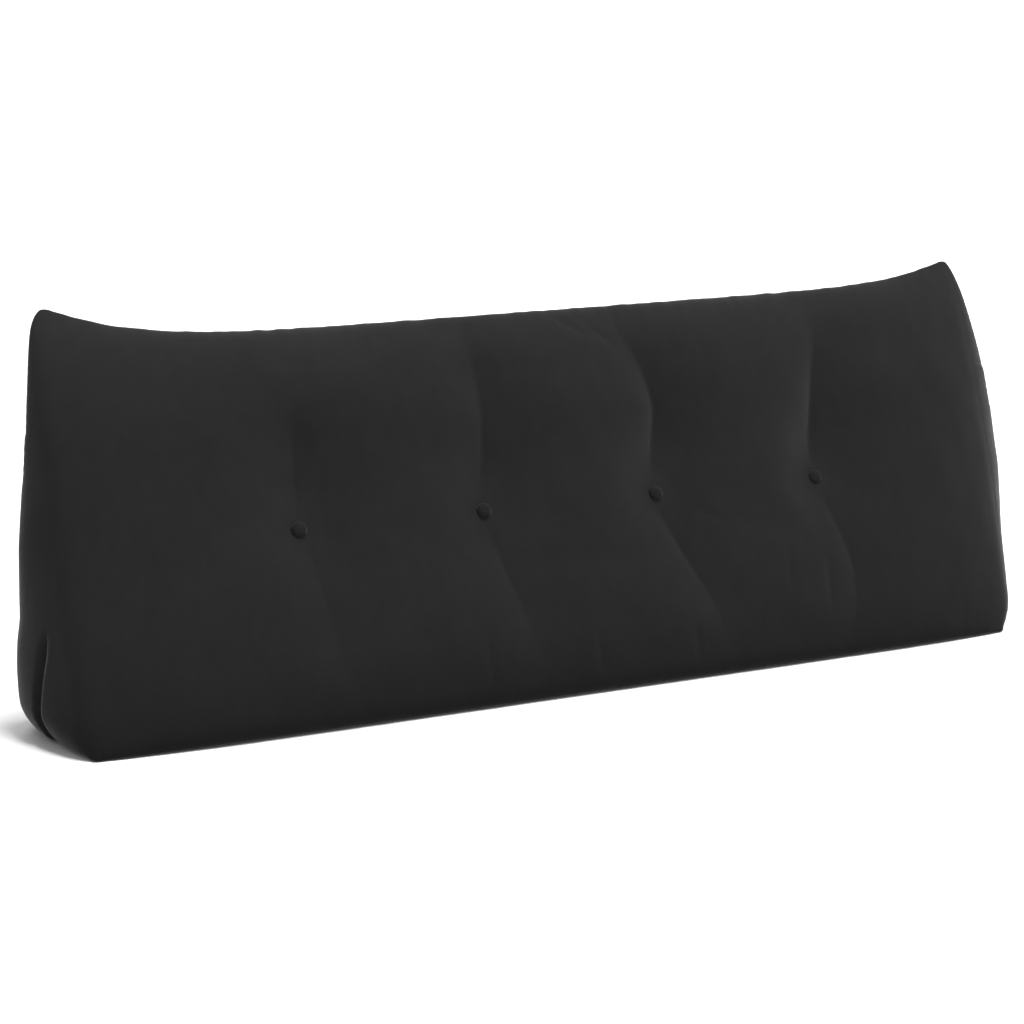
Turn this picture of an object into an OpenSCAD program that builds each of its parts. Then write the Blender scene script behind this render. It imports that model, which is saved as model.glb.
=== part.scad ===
// Wedge-shaped back-rest cushion with a tufted sloping front, an upright back with a zip, and triangular ends.
// Origin: middle of the footprint, on the surface that the cushion stands on.
// +X runs along the width, the sloping front faces -Y, and +Z is up.

/* [Cushion] */
// Overall width, over both end panels
cushion_w = 1340; // [900:20:2000]
// Overall depth of the base
cushion_d = 200; // [180:5:260]
// Height of the pointed corners of the top edge
cushion_h = 500; // [420:10:600]
// Thickness of the wedge at the height of the pointed corners
top_t = 14; // [10:1:24]
// How far the middle of the top edge lies below its corners
top_dip = 34; // [0:1:50]
// How far the filled front bulges past a flat slope
front_crown = 20; // [5:1:24]

/* [Cloth] */
// Thickness of the cover fabric
cover_t = 1.5; // [1:0.1:2]
// Thickness of the inner casing fabric
casing_t = 0.8; // [0.5:0.1:1]

/* [Tufting] */
// Distance between neighbouring buttons
tuft_gap = 250; // [180:5:280]
// Height of the row of buttons
tuft_z = 230; // [180:5:300]
// Radius of a covered front button
button_r = 10; // [8:0.5:12]
// Radius of a flat button on the back
back_button_r = 12; // [9:0.5:13]
// Diameter of the tufting cord
cord_d = 2; // [1:0.2:2.4]

/* [Zip] */
// Height of the zip on the back panel
zip_z = 110; // [60:5:140]
// Length of the channel that the zip lies in
zip_l = 1300; // [860:10:1310]
// Depth of the zip's tape below the back plane
zip_sink = 10; // [10:0.5:12]
// Height of the channel
zip_h = 34; // [30:1:40]
// Length of the pull tab, from its pin to its free end
tab_l = 26; // [18:1:30]

/* [Hidden] */
$fn = 48;
half_turn = 180;
TUFTS = 4;

// front slope
lean = atan((cushion_d - top_t) / cushion_h);
front_steps = 14;
top_steps = 12;
ear_power = 8;

// front dimple: a cone that runs into a flat floor on the flat slope
dimple_floor_r = 14;
dimple_depth = 34;
dimple_flare = 50;
// back dimple
back_floor_r = 15;
back_sink = 9;
back_flare = 45;

// room behind the tape for the slider's inner plate
groove_h = 17;
groove_depth = 5;

// cord route
cord_drop = 2;
cord_bore_r = cord_d / 2 + 0.6;

// covered button
cap_h = 5.6;
cap_t = 0.7;
shell_t = 0.4;
plate_t = 0.8;
fit_gap = 0.1;

// flat back button and knot
back_button_t = 3;
knot_r = 2.6;
knot_l = 2.2;

// zip
tape_t = 1;
coil_r = 1.3;
coil_gap = 1.6;
coil_l = 1260;
tape_edge = coil_gap / 2 + 2 * coil_r;
stop_l = 5;

// slider, in its own frame: X along the zip, Z outwards from the tape's middle, Y across the zip
slider_l = 14;
slider_w = 13;
wall = 1.2;
tunnel_h = 2 * coil_r + 0.6;
tunnel_w = 2 * tape_edge + 0.6;
slot_h = tape_t + 0.6;
web_t = 0.9;
web_l = 5;
hinge_r = 0.75;
hinge_bore_r = 0.82;
boss_r = 1.7;
boss_w = 3;
hinge_lift = tunnel_h / 2 + wall + boss_r + 0.3;
arm_l = 8;
arm_w = 1.6;
arm_gap = 0.3;
tab_t = 1.2;
zip_x = coil_l / 2 - slider_l / 2 - 2;
zip_y = cushion_d / 2 - zip_sink - tape_t / 2;

// care label
label_w = 60;
label_h = 32;
label_t = 0.6;
label_x = 520;
label_z = 48;

// cutting blocks
far = 2 * cushion_w;
zone_margin = 10;
zone_depth = zip_sink + groove_depth + 8;

// ---- shared shapes -------------------------------------------------------------------------------------------

// How steeply the front runs back at a height
function front_run(z) =
    (cushion_d - top_t) / cushion_h - front_crown * PI / cushion_h * cos(half_turn * z / cushion_h);

// Where the front surface is at a height, moved inwards by a cloth thickness
function front_y(z, inset) =
    -cushion_d / 2 + (cushion_d - top_t) * z / cushion_h - front_crown * sin(half_turn * z / cushion_h)
    + inset * sqrt(1 + pow(front_run(z), 2));

// Where the top edge is at a place along the width: nearly level, rising to a point at each end
function top_z(x) = cushion_h - top_dip * (1 - pow(abs(2 * x / cushion_w), ear_power));

// Place of a button along the width
function tuft_x(i) = (i - (TUFTS + 1) / 2) * tuft_gap;

// Side outline of the wedge
function side_outline(inset) = concat(
    [for (k = [0:front_steps])
        let (z = inset + (cushion_h - inset) * k / front_steps) [front_y(z, inset), z]],
    [[cushion_d / 2 - inset, cushion_h], [cushion_d / 2 - inset, inset]]
);

// Front outline of the wedge, with points closer together near the pointed corners
function front_outline(inset) = concat(
    [for (k = [-top_steps:top_steps])
        let (x = cushion_w / 2 * sin(90 * k / top_steps)) [x, top_z(x) - inset]],
    [[cushion_w / 2, inset], [-cushion_w / 2, inset]]
);

// Puts a shape at a button: local +Z is the outward normal of the flat slope
module at_tuft(i)
    translate([tuft_x(i), front_y(tuft_z, 0) + front_crown * sin(half_turn * tuft_z / cushion_h), tuft_z])
        rotate([90 - lean, 0, 0])
            children();

// Puts a shape on the back plane at a button: local +Z points out of the back
module at_back(i)
    translate([tuft_x(i), cushion_d / 2, tuft_z - cord_drop])
        rotate([-90, 0, 0])
            children();

// A cone with a flat floor at z = 0, grown by a cloth thickness on its floor and its slope
module dimple(floor_r, depth, flare, grow)
    translate([0, 0, -grow])
        cylinder(
            h = depth + grow,
            r1 = floor_r + grow * (1 / cos(flare) - tan(flare)),
            r2 = floor_r + depth * tan(flare) + grow / cos(flare)
        );

// Everything inside the cover's surface, moved inwards by a cloth thickness
module wedge(inset)
    difference() {
        intersection() {
            translate([-cushion_w / 2 + inset, 0, 0])
                rotate([90, 0, 90])
                    linear_extrude(cushion_w - 2 * inset)
                        polygon(side_outline(inset));
            translate([0, cushion_d, 0])
                rotate([90, 0, 0])
                    linear_extrude(2 * cushion_d)
                        polygon(front_outline(inset));
        }
        for (i = [1:TUFTS]) {
            at_tuft(i)
                dimple(dimple_floor_r, dimple_depth, dimple_flare, inset);
            at_back(i)
                translate([0, 0, -back_sink])
                    dimple(back_floor_r, back_sink + 1, back_flare, inset);
            cord_bore(i);
        }
        translate([-zip_l / 2 - inset, cushion_d / 2 - zip_sink - inset, zip_z - zip_h / 2 - inset])
            cube([zip_l + 2 * inset, zip_sink + inset + 1, zip_h + 2 * inset]);
        if (inset > 0)
            translate([
                -zip_l / 2 - inset,
                cushion_d / 2 - zip_sink - groove_depth - inset + cover_t,
                zip_z - groove_h / 2 - inset + cover_t
            ])
                cube([zip_l + 2 * inset, zip_sink, groove_h + 2 * (inset - cover_t)]);
    }

// The straight hole that a tufting cord runs through, from front to back
module cord_bore(i)
    at_back(i)
        translate([0, 0, -cushion_d])
            cylinder(h = cushion_d + 1, r = cord_bore_r);

// A closed skin of cloth, from one inset to the next
module skin(inset, cloth_t)
    difference() {
        wedge(inset);
        wedge(inset + cloth_t);
    }

// Half spaces that cut a skin into its panels
module end_zone(inset, cloth_t, side)
    translate([side > 0 ? cushion_w / 2 - inset - cloth_t : -far - cushion_w / 2 + inset + cloth_t, -far / 2, -far / 2])
        cube([far, far, far]);

module middle_zone(inset, cloth_t)
    translate([-cushion_w / 2 + inset + cloth_t, -far / 2, -far / 2])
        cube([cushion_w - 2 * (inset + cloth_t), far, far]);

module below(z)
    translate([-far / 2, -far / 2, z - far])
        cube([far, far, far]);

module above(z)
    translate([-far / 2, -far / 2, z])
        cube([far, far, far]);

module behind(y)
    translate([-far / 2, y, -far / 2])
        cube([far, far, far]);

// What belongs to the back: its flat cloth, the channel's walls and floor, and the back dimples
module back_zone(inset, cloth_t) {
    behind(cushion_d / 2 - inset - cloth_t);
    translate([-zip_l / 2 - zone_margin, cushion_d / 2 - zone_depth, zip_z - zip_h / 2 - zone_margin])
        cube([zip_l + 2 * zone_margin, far, zip_h + 2 * zone_margin]);
    for (i = [1:TUFTS])
        at_back(i)
            translate([0, 0, -zone_depth])
                cylinder(h = far, r = back_floor_r + zone_margin + back_sink);
}

module end_piece(inset, cloth_t, side)
    intersection() {
        skin(inset, cloth_t);
        end_zone(inset, cloth_t, side);
    }

module bottom_piece(inset, cloth_t)
    intersection() {
        skin(inset, cloth_t);
        middle_zone(inset, cloth_t);
        below(inset + cloth_t);
    }

module back_piece(inset, cloth_t)
    intersection() {
        skin(inset, cloth_t);
        middle_zone(inset, cloth_t);
        above(inset + cloth_t);
        back_zone(inset, cloth_t);
    }

// The front piece is the slope and the top edge
module front_piece(inset, cloth_t)
    difference() {
        intersection() {
            skin(inset, cloth_t);
            middle_zone(inset, cloth_t);
            above(inset + cloth_t);
        }
        back_zone(inset, cloth_t);
    }

// ---- cover ---------------------------------------------------------------------------------------------------

module front_panel()
    color("dimgray")
        front_piece(0, cover_t);

module back_panel_upper()
    color("dimgray")
        intersection() {
            back_piece(0, cover_t);
            above(zip_z + zip_h / 2);
        }

// The lower back panel also holds the two short stretches beyond the channel's ends
module back_panel_lower()
    color("dimgray")
        difference() {
            intersection() {
                back_piece(0, cover_t);
                below(zip_z + zip_h / 2);
            }
            translate([-zip_l / 2, -far / 2, zip_z - zip_h / 2])
                cube([zip_l, far, zip_h]);
            care_label_block(fit_gap / 2);
        }

module bottom_panel()
    color("dimgray")
        bottom_piece(0, cover_t);

module left_gusset()
    color("dimgray")
        end_piece(0, cover_t, -1);

module right_gusset()
    color("dimgray")
        end_piece(0, cover_t, 1);

// ---- inner casing and fill -----------------------------------------------------------------------------------

module casing_front()
    color("ivory")
        front_piece(cover_t, casing_t);

module casing_back()
    color("ivory")
        back_piece(cover_t, casing_t);

module casing_bottom()
    color("ivory")
        bottom_piece(cover_t, casing_t);

module casing_left_end()
    color("ivory")
        end_piece(cover_t, casing_t, -1);

module casing_right_end()
    color("ivory")
        end_piece(cover_t, casing_t, 1);

module fibre_fill()
    color("white")
        wedge(cover_t + casing_t);

// ---- tufts ---------------------------------------------------------------------------------------------------

// A shallow dome that stands on z = 0
module dome(r, h) {
    ball_r = (r * r + h * h) / (2 * h);
    intersection() {
        translate([0, 0, h - ball_r])
            sphere(ball_r, $fn = 64);
        cylinder(h = h, r = r);
    }
}

module button_cover(i)
    color("dimgray")
        at_tuft(i)
            translate([0, 0, fit_gap])
                difference() {
                    dome(button_r, cap_h);
                    translate([0, 0, -fit_gap])
                        dome(button_r - cap_t, cap_h - cap_t);
                    cylinder(h = plate_t + fit_gap, r = button_r - cap_t);
                }

module button_shell(i)
    color("silver")
        at_tuft(i)
            translate([0, 0, fit_gap + plate_t])
                difference() {
                    dome(button_r - 3 * cap_t, cap_h - 3 * cap_t);
                    translate([0, 0, -fit_gap])
                        dome(button_r - 3 * cap_t - shell_t, cap_h - 3 * cap_t - shell_t);
                }

module button_back_plate(i)
    color("silver")
        at_tuft(i)
            translate([0, 0, fit_gap])
                cylinder(h = plate_t - fit_gap, r = button_r - cap_t - fit_gap);

// The cord starts flush under the button's back plate and ends in the knot
module tufting_cord(i)
    color("gray")
        difference() {
            at_back(i)
                translate([0, 0, -cushion_d])
                    cylinder(h = cushion_d - back_sink + fit_gap + back_button_t, r = cord_d / 2);
            at_tuft(i)
                translate([-far / 2, -far / 2, fit_gap])
                    cube([far, far, far]);
        }

module back_button(i)
    color("black")
        at_back(i)
            translate([0, 0, -back_sink + fit_gap])
                difference() {
                    cylinder(h = back_button_t, r = back_button_r);
                    translate([0, 0, -1])
                        cylinder(h = back_button_t + 2, r = cord_bore_r);
                }

module cord_knot(i)
    color("gray")
        at_back(i)
            translate([0, 0, -back_sink + fit_gap + back_button_t])
                cylinder(h = knot_l, r = knot_r);

// ---- zip -----------------------------------------------------------------------------------------------------

// Puts a shape on the zip's middle line: local X along the zip, local Z out of the back, local Y downwards
module on_zip(x)
    translate([x, zip_y, zip_z])
        rotate([-90, 0, 0])
            children();

module zip_tape(side)
    on_zip(0)
        translate([-zip_l / 2, side > 0 ? -zip_h / 2 : tape_edge, -tape_t / 2])
            cube([zip_l, zip_h / 2 - tape_edge, tape_t]);

module zip_coil(side)
    on_zip(0)
        translate([-coil_l / 2, -side * (coil_gap / 2 + coil_r), 0])
            rotate([0, 90, 0])
                cylinder(h = coil_l, r = coil_r);

module zip_tape_upper()
    color("black")
        zip_tape(1);

module zip_tape_lower()
    color("black")
        zip_tape(-1);

module zip_coil_upper()
    color("black")
        zip_coil(1);

module zip_coil_lower()
    color("black")
        zip_coil(-1);

module zip_slider()
    color("dimgray")
        on_zip(zip_x) {
            difference() {
                union() {
                    translate([-slider_l / 2, -slider_w / 2, -tunnel_h / 2 - wall])
                        cube([slider_l, slider_w, tunnel_h + 2 * wall]);
                    translate([0, boss_w / 2, hinge_lift])
                        rotate([90, 0, 0])
                            cylinder(h = boss_w, r = boss_r);
                    translate([-boss_r, -boss_w / 2, tunnel_h / 2])
                        cube([2 * boss_r, boss_w, hinge_lift - tunnel_h / 2]);
                }
                translate([-slider_l, -tunnel_w / 2, -tunnel_h / 2])
                    cube([2 * slider_l, tunnel_w, tunnel_h]);
                translate([-slider_l, -slider_w, -slot_h / 2])
                    cube([2 * slider_l, 2 * slider_w, slot_h]);
                translate([0, boss_w, hinge_lift])
                    rotate([90, 0, 0])
                        cylinder(h = 2 * boss_w, r = hinge_bore_r);
            }
            translate([-slider_l / 2, -web_t / 2, -tunnel_h / 2])
                cube([web_l, web_t, tunnel_h]);
        }

module zip_pull_tab()
    color("dimgray")
        on_zip(zip_x)
            translate([0, 0, hinge_lift]) {
                span = boss_w / 2 + arm_gap;
                translate([0, span + arm_w / 2, 0])
                    rotate([90, 0, 0])
                        cylinder(h = 2 * span + arm_w, r = hinge_r);
                difference() {
                    translate([-tab_l, -span - arm_w, -tab_t / 2])
                        cube([tab_l, 2 * (span + arm_w), tab_t]);
                    translate([-arm_l, -span, -tab_t])
                        cube([2 * arm_l, 2 * span, 2 * tab_t]);
                }
            }

module zip_top_stops()
    color("dimgray")
        for (side = [-1, 1])
            on_zip(coil_l / 2)
                translate([0, side > 0 ? coil_gap / 2 : -tape_edge, -coil_r])
                    cube([stop_l, 2 * coil_r, 2 * coil_r]);

module zip_end_stop()
    color("dimgray")
        on_zip(-coil_l / 2 - stop_l)
            translate([0, -tape_edge, -coil_r])
                cube([stop_l, 2 * tape_edge, 2 * coil_r]);

// ---- label ---------------------------------------------------------------------------------------------------

module care_label_block(grow)
    translate([label_x - grow, cushion_d / 2 - label_t - grow, label_z - grow])
        cube([label_w + 2 * grow, label_t + 1, label_h + 2 * grow]);

module care_label()
    color("white")
        translate([label_x, cushion_d / 2 - label_t, label_z])
            cube([label_w, label_t, label_h]);

front_panel();
back_panel_upper();
back_panel_lower();
bottom_panel();
left_gusset();
right_gusset();
casing_front();
casing_back();
casing_bottom();
casing_left_end();
casing_right_end();
fibre_fill();
zip_tape_upper();
zip_tape_lower();
zip_coil_upper();
zip_coil_lower();
zip_slider();
zip_pull_tab();
zip_top_stops();
zip_end_stop();
care_label();
for (i = [1:TUFTS])
    button_cover(i);
for (i = [1:TUFTS])
    button_shell(i);
for (i = [1:TUFTS])
    button_back_plate(i);
for (i = [1:TUFTS])
    tufting_cord(i);
for (i = [1:TUFTS])
    back_button(i);
for (i = [1:TUFTS])
    cord_knot(i);
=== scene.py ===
"""Looks of the wedge back-rest cushion: a velvet cover, made panel by panel from one cloth simulation."""
import math

import bmesh
import bpy
import numpy as np
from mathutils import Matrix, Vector, noise
from mathutils.bvhtree import BVHTree


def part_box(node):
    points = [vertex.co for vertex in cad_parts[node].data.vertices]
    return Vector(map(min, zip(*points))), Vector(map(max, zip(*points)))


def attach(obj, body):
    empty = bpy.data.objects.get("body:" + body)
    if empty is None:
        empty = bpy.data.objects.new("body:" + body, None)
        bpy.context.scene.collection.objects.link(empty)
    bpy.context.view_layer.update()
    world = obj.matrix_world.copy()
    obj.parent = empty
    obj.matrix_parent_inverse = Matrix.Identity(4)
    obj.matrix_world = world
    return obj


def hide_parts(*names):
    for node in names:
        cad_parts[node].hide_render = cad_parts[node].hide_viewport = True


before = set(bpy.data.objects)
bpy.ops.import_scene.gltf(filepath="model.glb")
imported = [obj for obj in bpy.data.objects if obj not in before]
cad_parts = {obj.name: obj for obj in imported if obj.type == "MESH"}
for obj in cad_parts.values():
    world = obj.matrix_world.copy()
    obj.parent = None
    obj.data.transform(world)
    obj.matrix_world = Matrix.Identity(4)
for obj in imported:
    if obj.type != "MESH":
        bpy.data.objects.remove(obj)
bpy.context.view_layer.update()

# ---- driving sizes, in metres -------------------------------------------------------------------

# outline of the filled cover; pairs are (left end, right end), and heights given as T run 0 to 1
BASE_HALF = (0.668, 0.661)
EAR_HALF = (0.648, 0.654)
EAR_NARROWING = 40
SEAM_BOW = (0.0, 0.011)
SEAM_BOW_FULLNESS = 0.7
EAR_Z = 0.510
DIP = 0.040
DIP_TILT = -0.009
EAR_SHARPNESS = (6.1, 8.2)
FRONT_Y = -0.100
BACK_Y = 0.106
RIDGE_Y = 0.090
BASE_BOW = 0.008
CORNER_ROUND = (0.006, 0.013)
CORNER_ROUND_T = 0.07
FRONT_CROWN = 0.033
CROWN_FULLNESS = 0.40
END_ROLL = 8
TOP_SHOULDER = 0.0035
TOP_SHOULDER_T = 0.16
MIDDLE_HEIGHT = 0.47
LEAN = math.atan2(RIDGE_Y - FRONT_Y, MIDDLE_HEIGHT)
# a button's seat is this far off the flat slope, and its hollow reaches this far: (left, right), (down, up)
TUFT_CROWN = 0.0072
TUFT_SPAN_X = (0.060, 0.085)
TUFT_SPAN_Z = (0.060, 0.100)
BACK_CROWN = 0.008
# how far each end panel stands out, at seven heights from the base to the ear
END_LEVELS = (0.0, 0.06, 0.16, 0.42, 0.72, 0.90, 1.0)
END_BULGE = (
    (0.022, 0.041, 0.041, 0.033, 0.016, 0.005, 0.0),
    (-0.004, 0.016, 0.028, 0.0480, 0.043, 0.023, 0.0),
)
# how far the bulge leans to the back at each end, and how full its section is at the base and higher up
END_SKEW = (0.60, -0.10)
END_FULLNESS = (0.60, 0.95)
END_FULLNESS_T = 0.25

# the back panel's edges lie this far outside the zip tape's face; it is drawn in there and at each anchor
TAPE_COVER = 0.0020
ZIP_FLAT = 0.012
ZIP_PULL_W = 0.016
ANCHOR_PULL_R = 0.045

# cloth: cell size, fewest cells across an end panel, sharpness of the seams, slack, and the simulation
CELL = 0.0125
END_CELLS = 4
SEAM_CREASE = 0.25
END_CREASE = 0.05
SLACK_X = 0.010
SLACK_Z = 0.004
PRESSURE = 150
FILL = 1.015
SIM_FRAMES = 24
SEAM_HOLD = 0.9
TUFT_HOLD_R = 0.011
ANCHOR_HOLD_R = 0.013
ZIP_HOLD = 0.016
LEVELS = 2

# the cover's panels
FRONT, BACK, BOTTOM, LEFT, RIGHT = range(5)

# places taken from the CAD model
TUFTS = 4
SEATS = []
BACK_SEATS = []
for i in range(1, TUFTS + 1):
    lo, hi = (np.array(p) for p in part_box(f"button_back_plate_{i}"))
    SEATS.append((lo + hi) / 2)
    lo, hi = (np.array(p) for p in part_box(f"back_button_{i}"))
    BACK_SEATS.append(np.array([(lo[0] + hi[0]) / 2, lo[1], (lo[2] + hi[2]) / 2]))
BUTTON_R = (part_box("button_cover_1")[1].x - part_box("button_cover_1")[0].x) / 2
TAPE_LO, TAPE_HI = np.array(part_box("zip_tape_lower")[0]), np.array(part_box("zip_tape_upper")[1])
ZIP_Z = (TAPE_LO[2] + TAPE_HI[2]) / 2


# ---- small helpers ------------------------------------------------------------------------------

def new_object(name, mesh):
    obj = bpy.data.objects.new(name, mesh)
    bpy.context.scene.collection.objects.link(obj)
    return obj


def mesh_points(mesh):
    co = np.zeros(len(mesh.vertices) * 3, np.float32)
    mesh.vertices.foreach_get("co", co)
    return co.reshape(-1, 3).astype(float)


def mesh_normals(mesh):
    no = np.zeros(len(mesh.vertices) * 3, np.float32)
    mesh.vertex_normals.foreach_get("vector", no)
    return no.reshape(-1, 3).astype(float)


def set_points(mesh, points):
    mesh.vertices.foreach_set("co", np.asarray(points, np.float32).ravel())
    mesh.update()


def smoothstep(low, high, value):
    t = np.clip((value - low) / (high - low), 0, 1)
    return t * t * (3 - 2 * t)


def noise_at(points, size, seed):
    """Smooth noise from -1 to 1 at each point, with bumps about that size across."""
    shift = Vector((seed * 17.3, seed * 5.1, seed * 9.7))
    return np.array([noise.noise(Vector(p) / size + shift) for p in points])


def smooth_curve(levels, values, t):
    """Soft curve through a few named values."""
    t = np.asarray(t)
    fine_t = np.linspace(0, 1, 201)
    line = np.interp(fine_t, levels, values)
    kernel = np.hanning(21)
    padded = np.concatenate([2 * line[0] - line[10:0:-1], line, 2 * line[-1] - line[-2:-12:-1]])
    return np.interp(t, fine_t, np.convolve(padded, kernel / kernel.sum(), "valid"))


# ---- shape of the filled cover ------------------------------------------------------------------

def end_value(pair, u):
    return np.where(u < 0, pair[0], pair[1])


def side_stretch(offset, negative, positive):
    """Distance from a button in widths, which differ on its two sides."""
    return offset / np.where(offset < 0, negative, positive)


def filled(u, t, v):
    """Point on the filled cover. u runs -1 to 1 along it, t up it, v from the front to the back."""
    base, ear = end_value(BASE_HALF, u), end_value(EAR_HALF, u)
    base = base - end_value(CORNER_ROUND, u) * np.clip(1 - t / CORNER_ROUND_T, 0, 1) ** 2
    half = base + (ear - base) * t ** EAR_NARROWING
    half = half + end_value(SEAM_BOW, u) * (4 * t * (1 - t)) ** SEAM_BOW_FULLNESS
    bulge = np.where(
        u < 0, smooth_curve(END_LEVELS, END_BULGE[0], t), smooth_curve(END_LEVELS, END_BULGE[1], t)
    )
    across = np.clip(v - end_value(END_SKEW, u) * v * (1 - v), 0, 1)
    fullness = END_FULLNESS[0] + (END_FULLNESS[1] - END_FULLNESS[0]) * smoothstep(0.0, END_FULLNESS_T, t)
    side_profile = (4 * across * (1 - across)) ** fullness
    x = u * half + np.sign(u) * bulge * side_profile * abs(u) ** 16
    crest = EAR_Z - (DIP + DIP_TILT * u) * (1 - abs(u) ** end_value(EAR_SHARPNESS, u))
    z = t * crest
    slope_y = FRONT_Y + (RIDGE_Y - FRONT_Y) * t
    crown = FRONT_CROWN * (4 * t * (1 - t)) ** CROWN_FULLNESS * (1 - abs(u) ** END_ROLL)
    shoulder = np.sin(np.pi * np.clip((1 - t) / TOP_SHOULDER_T, 0, 1))
    crown = crown + TOP_SHOULDER * shoulder * (1 - abs(u) ** 6)
    for seat in SEATS:
        across_seat = side_stretch(x - seat[0], *TUFT_SPAN_X)
        reach = np.hypot(across_seat, side_stretch(z - seat[2], *TUFT_SPAN_Z))
        crown = crown - (crown - TUFT_CROWN) * np.exp(-(reach ** 1.2))
    long_bow = BASE_BOW * (1 - abs(u) ** 6) * (1 - t) ** 3
    front_y = slope_y - crown * math.cos(LEAN) - long_bow
    back_crown = BACK_CROWN * np.sin(np.pi * t) ** 0.7 * (1 - abs(u) ** 6)
    back_y = BACK_Y + (RIDGE_Y - BACK_Y) * t + back_crown
    y = front_y * (1 - v) + back_y * v
    return np.stack([x, y, z + crown * math.sin(LEAN) * (1 - v)], -1)


# ---- the cover as one closed mesh ---------------------------------------------------------------

class Cover:
    """Closed bag. A ring of points runs round each section, and a triangle grid closes each end."""

    def __init__(self):
        depth = BACK_Y - FRONT_Y
        self.rows = round(math.hypot(EAR_Z, RIDGE_Y - FRONT_Y) / CELL)
        self.base_cells = round(depth / CELL)
        self.ring = self.base_cells + 2 * self.rows
        self.columns = 2 * round(BASE_HALF[0] / CELL)
        self.chart, self.faces, self.panel = [], [], []
        self.tube()
        self.end(LEFT)
        self.end(RIGHT)

    def section(self, k):
        """(t, v) of ring point k: forward along the base, up the front, down the back."""
        if k <= self.base_cells:
            return 0.0, 1 - k / self.base_cells
        if k < self.base_cells + self.rows:
            return (k - self.base_cells) / self.rows, 0.0
        if k == self.base_cells + self.rows:
            return 1.0, 0.5
        return 1 - (k - self.base_cells - self.rows) / self.rows, 1.0

    def tube(self):
        for i in range(self.columns + 1):
            u = -1 + 2 * i / self.columns
            self.chart += [(u, *self.section(k)) for k in range(self.ring)]
        for i in range(self.columns):
            for k in range(self.ring):
                a, b = i * self.ring + k, i * self.ring + (k + 1) % self.ring
                self.faces.append((a, a + self.ring, b + self.ring, b))
                on_base, before_back = k < self.base_cells, k < self.base_cells + self.rows
                self.panel.append(BOTTOM if on_base else FRONT if before_back else BACK)

    def end(self, panel):
        """Rows of points from the front edge to the back edge, fewer in each row towards the ear."""
        first = 0 if panel == LEFT else self.columns * self.ring
        u = -1 if panel == LEFT else 1
        rows = [[first + self.base_cells - j for j in range(self.base_cells)] + [first]]
        for r in range(1, self.rows):
            t = r / self.rows
            cells = max(END_CELLS, 2 * round((BACK_Y - FRONT_Y) * (1 - t) / CELL / 2))
            row = [first + self.base_cells + r]
            for j in range(1, cells):
                row.append(len(self.chart))
                self.chart.append((u, t, j / cells))
            rows.append(row + [first + self.ring - r])
        rows.append([first + self.base_cells + self.rows])
        for low, high in zip(rows, rows[1:]):
            self.strip(low, high, panel)

    def strip(self, low, high, panel):
        """Triangles between two rows that may hold different numbers of points."""
        a = b = 0
        while a < len(low) - 1 or b < len(high) - 1:
            next_a = (a + 1) / (len(low) - 1) if a < len(low) - 1 else 2
            next_b = (b + 1) / (len(high) - 1) if b < len(high) - 1 else 2
            if next_a <= next_b:
                face = (low[a], high[b], low[a + 1])
                a += 1
            else:
                face = (low[a], high[b], high[b + 1])
                b += 1
            self.faces.append(face if panel == LEFT else face[::-1])
            self.panel.append(panel)

    def seam_sharpness(self, mesh):
        """One number for each edge: how sharp it stays when the mesh is rounded off."""
        beside = {}
        for face, panel in zip(self.faces, self.panel):
            for a, b in zip(face, face[1:] + face[:1]):
                beside.setdefault(frozenset((a, b)), set()).add(panel)
        levels = []
        for edge in mesh.edges:
            panels = beside[frozenset(edge.vertices)]
            at_end = LEFT in panels or RIGHT in panels
            levels.append(0.0 if len(panels) < 2 else END_CREASE if at_end else SEAM_CREASE)
        return levels

    def mesh(self, name, points):
        mesh = bpy.data.meshes.new(name)
        mesh.from_pydata([tuple(p) for p in points], [], self.faces)
        layer = mesh.attributes.new("panel", "INT", "FACE")
        layer.data.foreach_set("value", self.panel)
        mesh.update()
        return mesh


def back_pull(points, on_back):
    """Draws the back in at each anchor button and along the zip."""
    out = points.copy()
    for seat in BACK_SEATS:
        reach = np.hypot(points[:, 0] - seat[0], points[:, 2] - seat[2])
        pull = np.exp(-(reach / ANCHOR_PULL_R) ** 1.2) * on_back
        out[:, 1] += pull * (seat[1] - out[:, 1])
    off_zip = np.maximum(0, abs(points[:, 2] - ZIP_Z) - ZIP_FLAT)
    zip_pull = np.exp(-(off_zip / ZIP_PULL_W) ** 1.3) * on_back
    zip_pull *= 1 - smoothstep(TAPE_HI[0], TAPE_HI[0] + 0.012, abs(points[:, 0]))
    out[:, 1] += zip_pull * (TAPE_HI[1] + TAPE_COVER - out[:, 1])
    return out


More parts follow.
